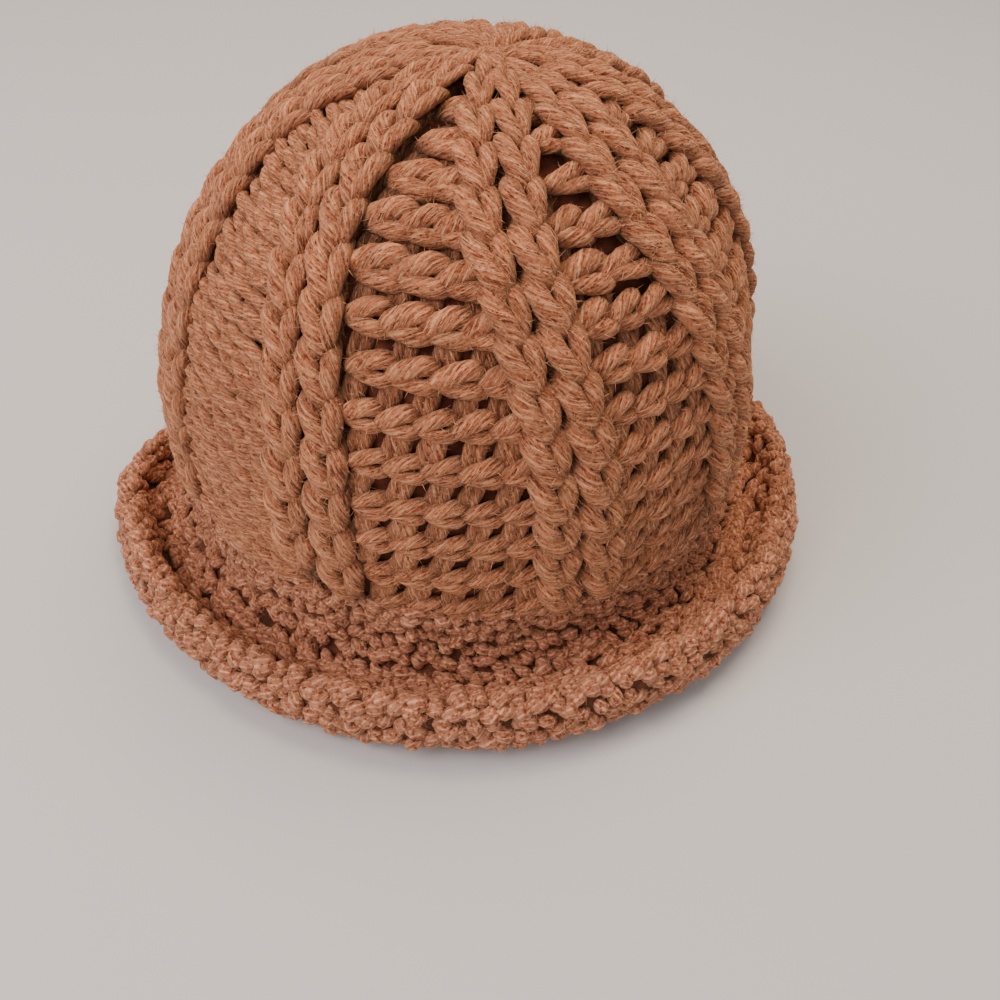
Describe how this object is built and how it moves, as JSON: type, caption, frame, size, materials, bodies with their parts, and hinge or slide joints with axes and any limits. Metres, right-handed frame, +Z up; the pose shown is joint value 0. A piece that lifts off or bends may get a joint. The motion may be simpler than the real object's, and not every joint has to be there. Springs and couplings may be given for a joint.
{
  "type": "knit bucket hat",
  "caption": "Hollow domed hat in bulky crocheted yarn, with ridged rounds, pairs of raised V-stitch ribs and a fat brim rolled up all round.",
  "frame": {"origin": "middle of the hat's plan, on the flat underside of the brim that it rests on", "axes": "+Z up through the crown, -Y the side that faces the camera, +X to the right in the picture"},
  "size_m": [0.2492, 0.249, 0.168],
  "materials": {
    "caramel_yarn": "matte, fuzzy bulky yarn"
  },
  "bodies": {
    "root": {"crown_fabric": "caramel_yarn", "rib_1_left": "caramel_yarn", "rib_1_right": "caramel_yarn", "rib_2_left": "caramel_yarn", "rib_2_right": "caramel_yarn", "rib_3_left": "caramel_yarn", "rib_3_right": "caramel_yarn", "rib_4_left": "caramel_yarn", "rib_4_right": "caramel_yarn", "rib_5_left": "caramel_yarn", "rib_5_right": "caramel_yarn", "rib_6_left": "caramel_yarn", "rib_6_right": "caramel_yarn", "rib_7_left": "caramel_yarn", "rib_7_right": "caramel_yarn", "rib_8_left": "caramel_yarn", "rib_8_right": "caramel_yarn", "rib_9_left": "caramel_yarn", "rib_9_right": "caramel_yarn", "rolled_brim": "caramel_yarn"}
  },
  "joints": []
}
